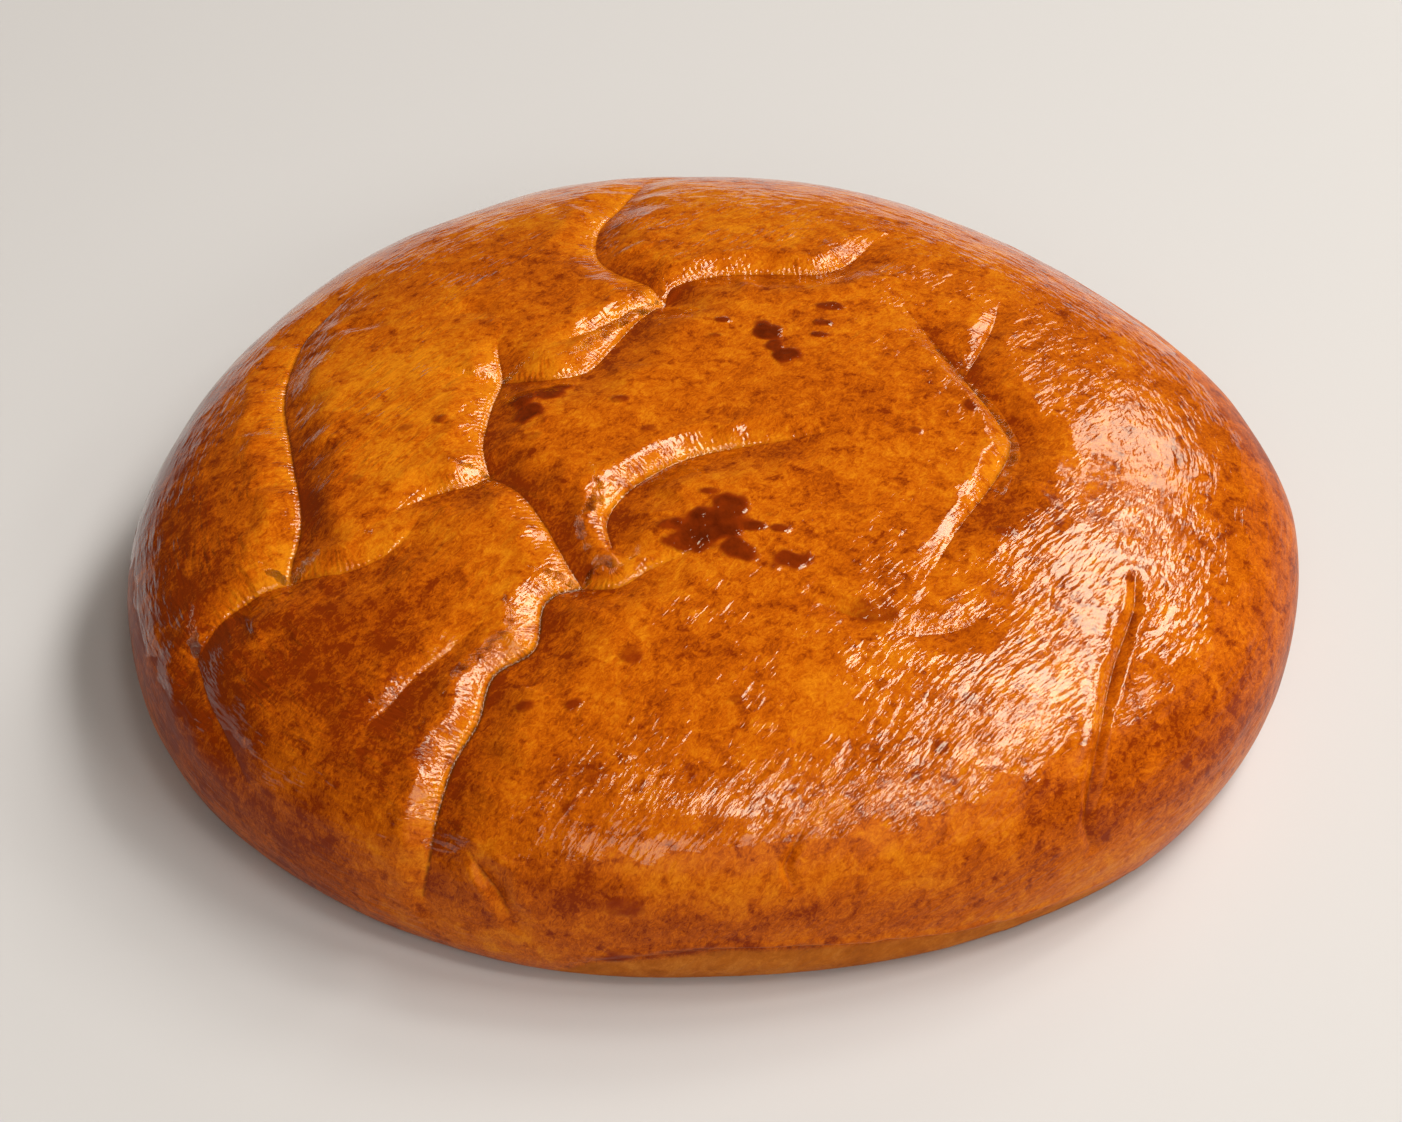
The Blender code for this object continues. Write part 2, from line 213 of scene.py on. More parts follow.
BLEND_POWER = 3.0
BANK_POWER = 1.1
BASE_FADE = 0.008
print(len(FOLDS), "folds,", sum(len(fold.route) for fold in FOLDS), "points")

# %% [markdown]
# A route's few points are joined by a Catmull-Rom curve, which passes through each of them
# without a corner. Then the nearest place on the curve gives, for any point of the skin, its
# distance, the side it lies on and how far along the fold it is.


# %% Smooth a route and measure from it
def smooth_route(points):
    """A smooth line through a fold's own points, with the length run at each, in metres."""
    ends = np.array([points[0]] + list(points) + [points[-1]], dtype=float) * MM
    ends[0] = 2 * ends[1] - ends[2]
    ends[-1] = 2 * ends[-2] - ends[-3]
    line = []
    for index in range(1, len(ends) - 2):
        before, start, end, after = ends[index - 1:index + 3]
        for step in range(ROUTE_STEPS):
            t = step / ROUTE_STEPS
            bend = 2 * start + (end - before) * t
            bend = bend + (2 * before - 5 * start + 4 * end - after) * t ** 2
            bend = bend + (3 * start - before - 3 * end + after) * t ** 3
            line.append(bend / 2)
    line.append(ends[-2])
    line = np.array(line)
    run = np.concatenate([[0.0], np.cumsum(np.linalg.norm(np.diff(line, axis=0), axis=1))])
    return line, run


def nearest_on_route(plan, line, run):
    """Distance to the route, which side it is on, and the length run to the nearest place."""
    best = np.full(len(plan), 1e9)
    side = np.ones(len(plan))
    where = np.zeros(len(plan))
    for index in range(len(line) - 1):
        start = line[index]
        step = line[index + 1] - start
        offset = plan - start
        t = np.clip(offset @ step / (step @ step), 0.0, 1.0)
        gap = offset - t[:, None] * step
        distance = np.hypot(gap[:, 0], gap[:, 1])
        closer = distance < best
        best = np.where(closer, distance, best)
        cross = step[0] * offset[:, 1] - step[1] * offset[:, 0]
        side = np.where(closer, np.where(cross > 0, 1.0, -1.0), side)
        where = np.where(closer, run[index] + t * (run[index + 1] - run[index]), where)
    return best, side, where


# %% [markdown]
# ## Soft noise
# Real crust is never even. Most of its unevenness can come from smooth random numbers on a
# lattice, blended between the lattice points: value noise. The random draw is seeded, so the
# loaf comes out the same every time.

# %% Noise on a seeded lattice
LATTICE = 64


def make_lattice(seed):
    """Random numbers from -1 to 1 on a cube of lattice points that repeats."""
    return np.random.default_rng(seed).uniform(-1.0, 1.0, (LATTICE, LATTICE, LATTICE))


def soft_noise(points, size, seed):
    """Smooth noise from -1 to 1 whose bumps are about this size, in metres."""
    lattice = make_lattice(seed)
    scaled = points / size
    low = np.floor(scaled).astype(int)
    part = scaled - low
    part = part * part * (3 - 2 * part)
    total = np.zeros(len(points))
    for corner in range(8):
        pick = np.array([corner & 1, corner >> 1 & 1, corner >> 2 & 1])
        cell = (low + pick) % LATTICE
        weight = np.prod(np.where(pick == 1, part, 1 - part), axis=1)
        total = total + weight * lattice[cell[:, 0], cell[:, 1], cell[:, 2]]
    return total


# %% [markdown]
# ## Press the folds
# Each fold sinks as the sum of a soft valley and a sharp cusp, and a low bead stands beside
# it. The sharper of its two sides is the lip, whose bank is nearly flat, so that it mirrors
# the light as one bright band. Where folds meet, adding them would dig a hole, so their
# depths are blended by a power mean, which stays close to the deeper one. The line itself is
# a thin slit, where the two lips touch, with a fine edge on either side. The nearest fold's
# measures are kept for the finish to read, and so are painted light, which makes the lit lips
# paler, and painted shade, which makes the valleys browner.

# %% The relief that folds give
FULL_DEPTH = 0.003
CUSP_POWER = 3
NEAR_SHARE = 2.2
SLIT_DEPTH = 0.00012
SLIT_WIDTH = 0.0004
EDGE_HEIGHT = 0.00006
EDGE_PLACE = 0.0009
EDGE_WIDTH = 0.00045
# Painted light makes the lit lips paler and painted shade makes the valleys browner, as shifts of the
# browning
PAINTED_LIGHT_WIDTH = 0.0035
LIP_PAINTED_LIGHT = 0.30
SHADE_WIDTH = 0.0065
SHADE_SHARE = 0.5
VALLEY_PAINTED_SHADE = 0.34
RIBBED_WIDTH = 0.0055
PUCKER = 0.3
PUCKER_SIZE = 0.0045


def near_line(plan, line, reach):
    """Which points lie in the line's own box, widened by this reach."""
    return np.all((plan > line.min(axis=0) - reach) & (plan < line.max(axis=0) + reach), axis=1)


def press_folds(plan):
    """Height of the skin over the smooth loaf, and what the finish needs to know of the folds."""
    pressed = np.zeros(len(plan))
    raised = np.zeros(len(plan))
    near = {name: np.zeros(len(plan)) for name in ("run", "line", "lip", "shade")}
    near["gap"] = np.full(len(plan), 0.1)
    for fold in FOLDS:
        line, run = smooth_route(fold.route)
        widest = max(fold.left * MM, fold.right * MM, SHADE_WIDTH) * NEAR_SHARE
        close = near_line(plan, line, widest)
        distance, side, where = nearest_on_route(plan[close], line, run)
        left = side > 0
        depth = np.interp(where / run[-1], np.linspace(0, 1, len(fold.depths)), fold.depths) * MM
        rise = np.where(left, fold.rise_left, fold.rise_right) * depth / max(fold.depths)
        sharp = np.where(left, fold.sharp_left, fold.sharp_right)
        pucker = soft_noise(np.column_stack([where, side * 0.01, 0 * where]), PUCKER_SIZE, 8)
        reach = np.where(left, fold.left, fold.right) * MM * (1 + PUCKER * pucker)
        x = np.clip(distance / reach, 0.0, 1.0)
        lip = np.where(left, fold.sharp_left > fold.sharp_right, fold.sharp_right > fold.sharp_left)
        soft = np.where(lip, (1 - x) ** BANK_POWER, 0.5 + 0.5 * np.cos(math.pi * x))
        cusp = (1 - x) ** CUSP_POWER
        pressed[close] += (depth * (sharp * cusp + (1 - sharp) * soft)) ** BLEND_POWER
        strength = depth / FULL_DEPTH * ((where > 0) & (where < run[-1]))
        edge = EDGE_HEIGHT * fold.line * strength
        edge = edge * np.exp(-((distance - EDGE_PLACE) / EDGE_WIDTH) ** 2)
        bead = rise * np.exp(-((distance / reach - LIP_PLACE) / LIP_SPREAD) ** 2)
        raised[close] = np.maximum(raised[close], bead + edge)
        # Painted light makes the lit lip paler, and painted shade makes the valley beside it browner
        wide = np.minimum(SHADE_WIDTH, reach * SHADE_SHARE)
        shade = np.where(lip, -LIP_PAINTED_LIGHT * np.exp(-(distance / PAINTED_LIGHT_WIDTH) ** 2),
                         VALLEY_PAINTED_SHADE * np.exp(-(distance / wide) ** 2))
        near["shade"][close] += strength * shade
        ribbed = strength * lip * np.exp(-(distance / RIBBED_WIDTH) ** 2)
        near["lip"][close] = np.maximum(near["lip"][close], ribbed)
        closer = distance < np.abs(near["gap"][close])
        for name, value in (("gap", distance * side), ("run", where), ("line", strength * fold.line)):
            near[name][close] = np.where(closer, value, near[name][close])
    slit = SLIT_DEPTH * near["line"] * np.exp(-(near["gap"] / SLIT_WIDTH) ** 2)
    return raised - pressed ** (1 / BLEND_POWER) - slit, near


# %% [markdown]
# ## Burnt blisters
# Where a bubble of sugar rose under the egg wash it burnt dark, in spots from one to a dozen
# millimetres across. Each is placed where it shows, with its half sizes and its turn.
# They darken the crust later, and here each swells a little. Softer, wider patches are only
# darker, partly browning and partly painted shade, most of all on the left flank away from
# the lamps, and a few pale ones are browned less.

# %% The blisters
Blister = namedtuple("Blister", "x y long short turn dark")

BLISTERS = (
    Blister(0, -43, 7.0, 5.5, 20, 1.0),
    Blister(4, -37, 5.0, 3.5, 80, 0.9),
    Blister(-5, -46, 4.5, 3.0, 30, 0.8),
    Blister(5, -49, 4.0, 3.0, -30, 0.9),
    Blister(-8, -42, 3.2, 1.6, 0, 0.6),
    Blister(9, -43, 2.8, 1.7, 0, 0.9),
    Blister(14, -43, 2.2, 1.3, 0, 0.7),
    Blister(16, -52, 3.4, 2.2, 0, 0.8),
    Blister(0, -32, 2.0, 1.0, 0, 0.6),
    Blister(-40, 2, 3.2, 3.8, 0, 0.9),
    Blister(-35, 4, 3.6, 3.4, 40, 0.9),
    Blister(-38, -3, 2.8, 3.2, 20, 0.9),
    Blister(-33, 7, 2.4, 1.4, 0, 0.8),
    Blister(12, 26, 2.6, 4.0, 20, 1.0),
    Blister(14, 21, 2.0, 3.0, 20, 0.9),
    Blister(16, 17, 3.0, 3.0, 0, 1.0),
    Blister(26, 38, 3.2, 1.6, 0, 0.8),
    Blister(25, 31, 2.2, 1.2, 0, 0.9),
    Blister(24, 26, 1.8, 0.9, 0, 0.8),
    Blister(3, 30, 2.0, 1.2, 0, 0.8),
    Blister(1, 24, 1.6, 0.9, 0, 0.6),
    Blister(54, 1, 1.8, 2.6, 10, 0.8),
    Blister(34, -65, 4.6, 2.6, 0, 0.45),
    Blister(42, -9, 1.6, 1.2, 0, 0.5),
    Blister(-19, 0, 2.0, 1.4, 0, 0.5),
    Blister(-13, -10, 1.8, 1.2, 0, 0.4),
    Blister(-36, -12, 1.6, 1.2, 0, 0.4),
    Blister(-16, -78, 2.6, 2.2, 0, 0.5),
    Blister(-27, -89, 1.8, 1.4, 0, 0.7),
    Blister(-37, -88, 1.4, 1.2, 0, 0.6),
    Blister(-23, -106, 2.0, 1.4, 0, 0.4),
    Blister(5, -90, 1.8, 1.2, 0, 0.35),
    Blister(29, -35, 2.0, 1.2, 0, 0.35),
    Blister(58, -39, 1.8, 1.6, 0, 0.5),
    Blister(-18, -133, 4.4, 2.4, 0, 0.5),
    Blister(-23, -148, 4.6, 2.4, 0, 0.7),
    Blister(-57, -4, 1.8, 1.2, 0, 0.45),
    Blister(-64, -6, 1.8, 1.2, 0, 0.45),
    Blister(-73, -21, 2.0, 1.2, 0, 0.4),
)
# Wider darker patches: partly real browning, partly painted shade on the flanks
BROWNING_AND_SHADE_PATCHES = (
    Blister(-76, -66, 20, 11, 30, 0.75),
    Blister(-68, -93, 13, 11, 0, 0.6),
    Blister(-63, -84, 9, 6, 0, 0.6),
    Blister(-112, -60, 40, 22, 110, 0.8),
    Blister(-128, 0, 50, 20, 90, 0.8),
    Blister(-105, -100, 40, 22, 130, 0.6),
    Blister(-82, -22, 22, 8, 90, 0.4),
    Blister(62, -33, 14, 9, 50, 0.4),
    Blister(-20, -95, 24, 9, 60, 0.25),
    Blister(-7, -142, 26, 7, 0, 0.35),
    Blister(132, -10, 70, 22, 90, 0.35),
    Blister(96, -86, 40, 14, 48, 0.55),
    Blister(-34, -130, 14, 7, 10, 0.5),
    Blister(24, -137, 24, 5, 10, 0.35),
)
PALE_PATCHES = (
    Blister(-68, 8, 28, 24, 90, 0.5),
    Blister(-5, 88, 60, 22, 0, 0.35),
    Blister(-88, -40, 14, 10, 0, 0.3),
    Blister(110, -95, 70, 8, 50, 0.35),
)
BLISTER_EDGE = 0.5
PATCH_EDGE = 1.0
RAGGED = 0.5
BLISTER_HEIGHT = 0.0001


def marks(plan, spots, edge, wobble):
    """How dark each point is in these spots, from 0 to 1, with ragged edges."""
    mark = np.zeros(len(plan))
    for blister in spots:
        turn = math.radians(blister.turn)
        offset = plan - np.array([blister.x, blister.y]) * MM
        u = (offset[:, 0] * math.cos(turn) + offset[:, 1] * math.sin(turn)) / (blister.long * MM)
        v = (offset[:, 1] * math.cos(turn) - offset[:, 0] * math.sin(turn)) / (blister.short * MM)
        inside = 1.0 - np.hypot(u, v) * (1 + RAGGED * wobble)
        mark = np.maximum(mark, blister.dark * np.clip(inside / edge + 0.5, 0.0, 1.0))
    return mark


print(len(BLISTERS), "blisters,", len(BROWNING_AND_SHADE_PATCHES), "browner patches,", len(PALE_PATCHES), "paler ones")

# %% [markdown]
# ## Build the crust
# The crust starts as a ball of even triangles, as the solid does, but halved once more, so
# that a triangle is under a millimetre. Its points are carried to the loaf, the folds,
# blisters and wrinkles are added along the outward direction, and Decimate then drops
# triangles where the crust is plain. The crepe of the glaze is finer than the mesh. The
# material draws it, and the mesh only says how strong it is at each place.

# %% Sizes of the crust's mesh and wrinkles
BALL_HALVINGS = 8
SKIN_SHARE = 0.86
KEPT_TRIANGLES = 190000
SWELL_SIZE = 0.032
SWELL_HEIGHT = 0.0006
LUMP_SIZE = 0.009
LUMP_HEIGHT = 0.00014
WRINKLE_SIZE = 0.0030
WRINKLE_HEIGHT = 0.00005
RING_WRINKLE_HEIGHT = 0.00008
RING_RADIUS = 0.035
CREPE_PATCH = 0.018
TOP_CREPE = 0.45
FRONT_CREPE = 1.4
LIP_CALM = 0.2
STREAK_TURN = math.radians(52)
FRONT = math.radians(-78)


# %% Wrinkles of the crust
def stretched(points, direction, squeeze):
    """Points squeezed along a flat direction, so that noise runs in streaks that way."""
    along = points[:, 0] * math.cos(direction) + points[:, 1] * math.sin(direction)
    across = points[:, 1] * math.cos(direction) - points[:, 0] * math.sin(direction)
    return np.column_stack([along / squeeze, across, points[:, 2]])


def ring_way(along, angle):
    """1 where the streaks run round the loaf, 0 where they run across it."""
    rim = np.clip((along / SKIN - 0.42) / 0.22, 0.0, 1.0)
    front = np.clip(1.5 - np.abs(angle - FRONT) / math.radians(30), 0.0, 1.0)
    return rim * rim * (3 - 2 * rim) * (1 - front)


def wrinkle_relief(points, along, angle):
    """Low swells and lumps, and fine streaks that run across the top and round the flank."""
    relief = SWELL_HEIGHT * soft_noise(points, SWELL_SIZE, 1)
    relief = relief + LUMP_HEIGHT * soft_noise(stretched(points, STREAK_TURN, 1.6), LUMP_SIZE, 2)
    across = soft_noise(stretched(points, STREAK_TURN, 2.6), WRINKLE_SIZE, 3)
    ring = np.column_stack([along, RING_RADIUS * np.cos(angle), RING_RADIUS * np.sin(angle)])
    bands = soft_noise(ring, WRINKLE_SIZE, 5)
    share = ring_way(along, angle)
    return relief + WRINKLE_HEIGHT * across * (1 - share) + RING_WRINKLE_HEIGHT * bands * share


def crepe_share(points, along, angle, lip):
    """How strong the crepe of the glaze is: weak on the top, strong in front, and never even."""
    outer = np.clip((along / SKIN - 0.15) / 0.28, 0.0, 1.0)
    front = np.clip((along / SKIN - 0.55) / 0.15, 0.0, 1.0)
    outer = outer + FRONT_CREPE * front * np.clip(np.cos(angle - FRONT), 0.0, 1.0)
    patchy = 0.85 + 0.4 * soft_noise(points, CREPE_PATCH, 9)
    return (TOP_CREPE + (1 - TOP_CREPE) * outer) * patchy * (1 - LIP_CALM * np.clip(lip, 0.0, 1.0))


# %% [markdown]
# A fold's slit is finer than the mesh, so the mesh's points are first gathered towards the
# folds. A point never crosses its fold, and points far from any fold stay where they are.

# %% Gather points towards the folds
GATHER_REACH = 0.007
GATHER_POWER = 0.55


def gather_to_folds(plan):
    """Flat points drawn towards the nearest fold, the more the nearer they are."""
    best = np.full(len(plan), GATHER_REACH)
    pull = np.zeros_like(plan)
    for fold in FOLDS:
        line, run = smooth_route(fold.route)
        close = near_line(plan, line, GATHER_REACH)
        flat = plan[close]
        distance, _, where = nearest_on_route(flat, line, run)
        foot = np.column_stack([np.interp(where, run, line[:, 0]), np.interp(where, run, line[:, 1])])
        kept = (np.maximum(distance, 1e-9) / GATHER_REACH) ** GATHER_POWER
        move = (foot - flat) * (1 - kept)[:, None]
        closer = distance < best[close]
        best[close] = np.where(closer, distance, best[close])
        pull[close] = np.where(closer[:, None], move, pull[close])
    return plan + pull


# %% [markdown]
# The egg wash was brushed on from above. It ran thin on the lower flank, which is dull, a
# little higher up on the right. At the front right it stopped at the ledge over the foot,
# and all round the loaf the last few millimetres above the base are bare too.

# %% Where the wash ends
BARE_FOOT = 0.0025
WASH_FADE = 0.0012
LEDGE_END = 0.12
DULL_ALONG = 0.121
DULL_TURN = 0.008
DULL_FADE = 0.004
LEDGE = next(fold for fold in FOLDS if fold.name == "foot ledge")


def wash_edge(angle):
    """How far down the skin the egg wash reaches at this angle."""
    edge = [(math.atan2(y, x), math.hypot(x, y) * MM) for x, y in LEDGE.route]
    turns = [edge[0][0] - LEDGE_END] + [turn for turn, _ in edge] + [edge[-1][0] + LEDGE_END]
    down = [SKIN - BARE_FOOT] + [along for _, along in edge] + [SKIN - BARE_FOOT]
    return np.interp(angle, turns, down)


# %% Shape the crust
def keep_mask(mesh, name, values):
    """Store one number for each point, which a material can read by name."""
    mask = mesh.attributes.new(name, "FLOAT", "POINT")
    mask.data.foreach_set("value", values.astype(np.float32))


def shape_crust(mesh):
    """Carry the ball to the loaf, add the relief, and keep the masks that the finish reads."""
    ball = np.empty(len(mesh.vertices) * 3)
    mesh.vertices.foreach_get("co", ball)
    ball = ball.reshape(-1, 3)
    from_top = np.arccos(np.clip(ball[:, 2], -1.0, 1.0)) / math.pi
    angle = np.arctan2(ball[:, 1], ball[:, 0])
    on_skin = from_top / SKIN_SHARE * SKIN
    on_base = SKIN + (from_top - SKIN_SHARE) / (1 - SKIN_SHARE) * SKIN
    along = np.where(from_top < SKIN_SHARE, on_skin, on_base)
    plan = gather_to_folds(np.stack([along * np.cos(angle), along * np.sin(angle)], axis=1))
    along = np.hypot(plan[:, 0], plan[:, 1])
    angle = np.arctan2(plan[:, 1], plan[:, 0])
    smooth = place_on_loaf(along, angle)
    proud, near = press_folds(plan)
    burnt = marks(plan, BLISTERS, BLISTER_EDGE, soft_noise(smooth, 0.0025, 6))
    wobble = soft_noise(smooth, 0.009, 7)
    # Browning and painted shade from the wide patches, lightened by the pale ones
    browning_and_shade = marks(plan, BROWNING_AND_SHADE_PATCHES, PATCH_EDGE, wobble) - marks(plan, PALE_PATCHES, PATCH_EDGE, wobble)
    proud = proud + BLISTER_HEIGHT * burnt
    proud = proud + wrinkle_relief(smooth, along, angle)
    fade = np.clip((SKIN - along) / BASE_FADE, 0.0, 1.0)
    proud = proud * fade * fade * (3 - 2 * fade)
    points = smooth + outward(along, angle) * proud[:, None]
    points[:, 2] = np.maximum(points[:, 2], 0.0)
    mesh.vertices.foreach_set("co", points.ravel())
    dull_along = DULL_ALONG - DULL_TURN * np.cos(angle)
    masks = {
        "burnt": burnt,
        "browning_and_shade": browning_and_shade,
        "unwashed": np.clip((along - wash_edge(angle)) / WASH_FADE, 0.0, 1.0),
        "down": along / SKIN,
        "dull": (along - dull_along) / DULL_FADE + soft_noise(smooth, 0.004, 10),
        "fold_gap": near["gap"] / MM,
        "fold_run": near["run"] / MM,
        "fold_line": near["line"],
        "fold_lip": near["lip"],
        "fold_light_and_shade": near["shade"],
        "ring_way": ring_way(along, angle),
        "crepe": crepe_share(smooth, along, angle, near["lip"]),
    }
    for name, values in masks.items():
        keep_mask(mesh, name, values)
    mesh.update()


# %% [markdown]
# The finished mesh is thinned and then fitted to the solid's own box, because the solid has
# far fewer triangles and its corners lie a hair's breadth elsewhere.


# %% Thin it out and fit it to the solid
def thin_out(piece):
    """Keep the triangles where the crust bends and drop them where it is plain."""
    thin = piece.modifiers.new("Thin out", "DECIMATE")
    thin.ratio = min(1.0, KEPT_TRIANGLES / len(piece.data.polygons))
    graph = bpy.context.evaluated_depsgraph_get()
    mesh = bpy.data.meshes.new_from_object(piece.evaluated_get(graph))
    piece.modifiers.remove(thin)
    old = piece.data
    piece.data = mesh
    bpy.data.meshes.remove(old)


def fit_to_solid(mesh, node):
    """Move and stretch the mesh by a hair, so that its box is that of the solid."""
    low, high = (np.array(corner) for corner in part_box(node))
    points = np.empty(len(mesh.vertices) * 3)
    mesh.vertices.foreach_get("co", points)
    points = points.reshape(-1, 3)
    own_low = points.min(axis=0)
    own_high = points.max(axis=0)
    scale = (high - low) / (own_high - own_low)
    points = (points - own_low) * scale + low
    mesh.vertices.foreach_set("co", points.ravel())
    mesh.update()
    return scale, own_low, own_high


def make_crust():
    """The whole crust, top, flank and base, as one closed mesh."""
    mesh = bpy.data.meshes.new("loaf_crust")
    ball = bmesh.new()
    bmesh.ops.create_icosphere(ball, subdivisions=BALL_HALVINGS, radius=1.0)
    ball.to_mesh(mesh)
    ball.free()
    shape_crust(mesh)
    crust = bpy.data.objects.new("loaf_crust", mesh)
    bpy.context.scene.collection.objects.link(crust)
    thin_out(crust)
    crust.data.shade_smooth()
    return crust


def mark_dull_faces(mesh):
    """Give the faces of the lower flank and the base to the second material."""
    corners = np.empty(len(mesh.loops), dtype=np.int32)
    mesh.loops.foreach_get("vertex_index", corners)
    dull = np.empty(len(mesh.vertices), dtype=np.float32)
    mesh.attributes["dull"].data.foreach_get("value", dull)
    dull_face = dull[corners].reshape(-1, 3).mean(axis=1) > 0.5
    mesh.polygons.foreach_set("material_index", dull_face.astype(np.int32))


crust = make_crust()
crust_scale, own_low, own_high = fit_to_solid(crust.data, "sheermal")
print("crust", len(crust.data.polygons), "triangles, stretched by", crust_scale.round(4))
print("own box", own_low.round(4), own_high.round(4))
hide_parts("sheermal")
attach(crust, "root")

# %% [markdown]
# ## Node helpers
# A material is a chain of nodes. These few helpers add a node, link sockets, place a group
# and name the steps that come again and again, so that each material below reads as a short
# recipe.


# %% Node helpers
def set_inputs(tree, node, inputs):
    """Give a node its inputs, by name or number: each is a socket to link or a plain value."""
    for key, value in inputs.items():
        if isinstance(value, bpy.types.NodeSocket):
            tree.links.new(value, node.inputs[key])
        else:
            node.inputs[key].default_value = value


def add_node(tree, kind, inputs=None, **settings):
    """A node of this kind, with its settings and its inputs."""
    node = tree.nodes.new(kind)
    for key, value in settings.items():
        setattr(node, key, value)
    set_inputs(tree, node, inputs or {})
    return node


def start_group(name, inputs, outputs):
    """A new node group with these float or colour sockets, and its two end nodes."""
    group = bpy.data.node_groups.new(name, "ShaderNodeTree")
    for label, kind, value in inputs:
        socket = group.interface.new_socket(name=label, in_out="INPUT", socket_type=kind)
        socket.default_value = value
    for label, kind in outputs:
        group.interface.new_socket(name=label, in_out="OUTPUT", socket_type=kind)
    return group, group.nodes.new("NodeGroupInput"), group.nodes.new("NodeGroupOutput")


def place_group(tree, group, inputs):
    """The group as one node of this material, with its own values."""
    node = tree.nodes.new("ShaderNodeGroup")
    node.node_tree = group
    set_inputs(tree, node, inputs)
    return node


def maths(tree, operation, first, second=None, third=None, clamp=False):
    """One sum, product or other operation, as its output socket."""
    inputs = {0: first}
    if second is not None:
        inputs[1] = second
    if third is not None:
        inputs[2] = third
    node = add_node(tree, "ShaderNodeMath", inputs, operation=operation, use_clamp=clamp)
    return node.outputs[0]


def read_mask(tree, name):
    """The mask of this name that the mesh keeps."""
    return add_node(tree, "ShaderNodeAttribute", attribute_name=name).outputs["Fac"]


def noise(tree, place, scale, detail, roughness=0.5, distortion=0.0):
    """Noise from 0 to 1 at this place, with about so many bumps to the metre."""
    inputs = {"Vector": place, "Scale": scale, "Detail": detail, "Roughness": roughness,
              "Distortion": distortion}
    return add_node(tree, "ShaderNodeTexNoise", inputs).outputs["Fac"]


def ramp(tree, value, low, high, lowest=0.0, highest=1.0, **settings):
    """Runs from the lowest result, where the value is low, to the highest, where it is high."""
    inputs = {"Value": value, "From Min": low, "From Max": high, "To Min": lowest, "To Max": highest}
    return add_node(tree, "ShaderNodeMapRange", inputs, **settings).outputs[0]


def mix_colours(tree, share, first, second):
    """Two colours mixed, with this share of the second."""
    inputs = {0: share, 6: first, 7: second}
    return add_node(tree, "ShaderNodeMix", inputs, data_type="RGBA").outputs[2]


def start_material(name):
    """A new material, its node tree and its shader."""
    material = bpy.data.materials.new(name)
    material.use_nodes = True
    tree = material.node_tree
    return material, tree, tree.nodes["Principled BSDF"]


def bend_normal(tree, shader, height):
    """Bend the shader's normal by a height in millimetres."""
    bump = add_node(tree, "ShaderNodeBump", {"Height": height, "Strength": 1.0, "Distance": MM})
    tree.links.new(bump.outputs["Normal"], shader.inputs["Normal"])


# %% [markdown]
# ## Two ways over the skin
# Streaks of browning and of glaze follow the dough, so their noise needs coordinates that lie
# in the skin. This group gives two: one runs across the whole loaf, as if the skin lay flat,
# and one runs round it. Both are squeezed, so that noise drawn on them comes out in streaks.


# %% The group of skin coordinates
def make_skin_ways_group():
    """Streaky coordinates across the skin and round it, in metres."""
    group, start, end = start_group(
        "skin_ways", [("Stretch", "NodeSocketFloat", 3.2)],
        [("Across", "NodeSocketVector"), ("Round", "NodeSocketVector")])
    place = add_node(group, "ShaderNodeTexCoord").outputs["Object"]
    along = maths(group, "MULTIPLY", read_mask(group, "down"), SKIN)
    flat = add_node(group, "ShaderNodeVectorMath", {0: place, 1: (1, 1, 0)}, operation="MULTIPLY")
    unit = add_node(group, "ShaderNodeVectorMath", {0: flat.outputs[0]}, operation="NORMALIZE")
    skin = add_node(group, "ShaderNodeVectorMath", {0: unit.outputs[0]}, operation="SCALE")
    group.links.new(along, skin.inputs["Scale"])
    squeeze = add_node(group, "ShaderNodeCombineXYZ", {0: start.outputs["Stretch"], 1: 1.0, 2: 1.0})
    across = add_node(group, "ShaderNodeMapping",
                      {"Vector": skin.outputs[0], "Rotation": (0, 0, STREAK_TURN),
                       "Scale": squeeze.outputs[0]}, vector_type="TEXTURE")
    group.links.new(across.outputs[0], end.inputs["Across"])
    circle = add_node(group, "ShaderNodeVectorMath", {0: unit.outputs[0], 1: [RING_RADIUS] * 3},
                      operation="MULTIPLY")
    parts = add_node(group, "ShaderNodeSeparateXYZ", {0: circle.outputs[0]})
    ring = add_node(group, "ShaderNodeCombineXYZ", {0: along, 1: parts.outputs[0], 2: parts.outputs[1]})
    group.links.new(ring.outputs[0], end.inputs["Round"])
    return group


skin_ways = make_skin_ways_group()
print("skin ways group:", len(skin_ways.nodes), "nodes")

# %% [markdown]
# ## Browning
# Bread browns unevenly: in patches a few centimetres wide, in a mottle of a few millimetres,
# and in specks and in fibres where the dough was stretched. One group makes them all from
# noise. It puts out how brown each place is, and a colour from light over middle to dark.
# Washed crust and bare dough both use it, each with its own colours.


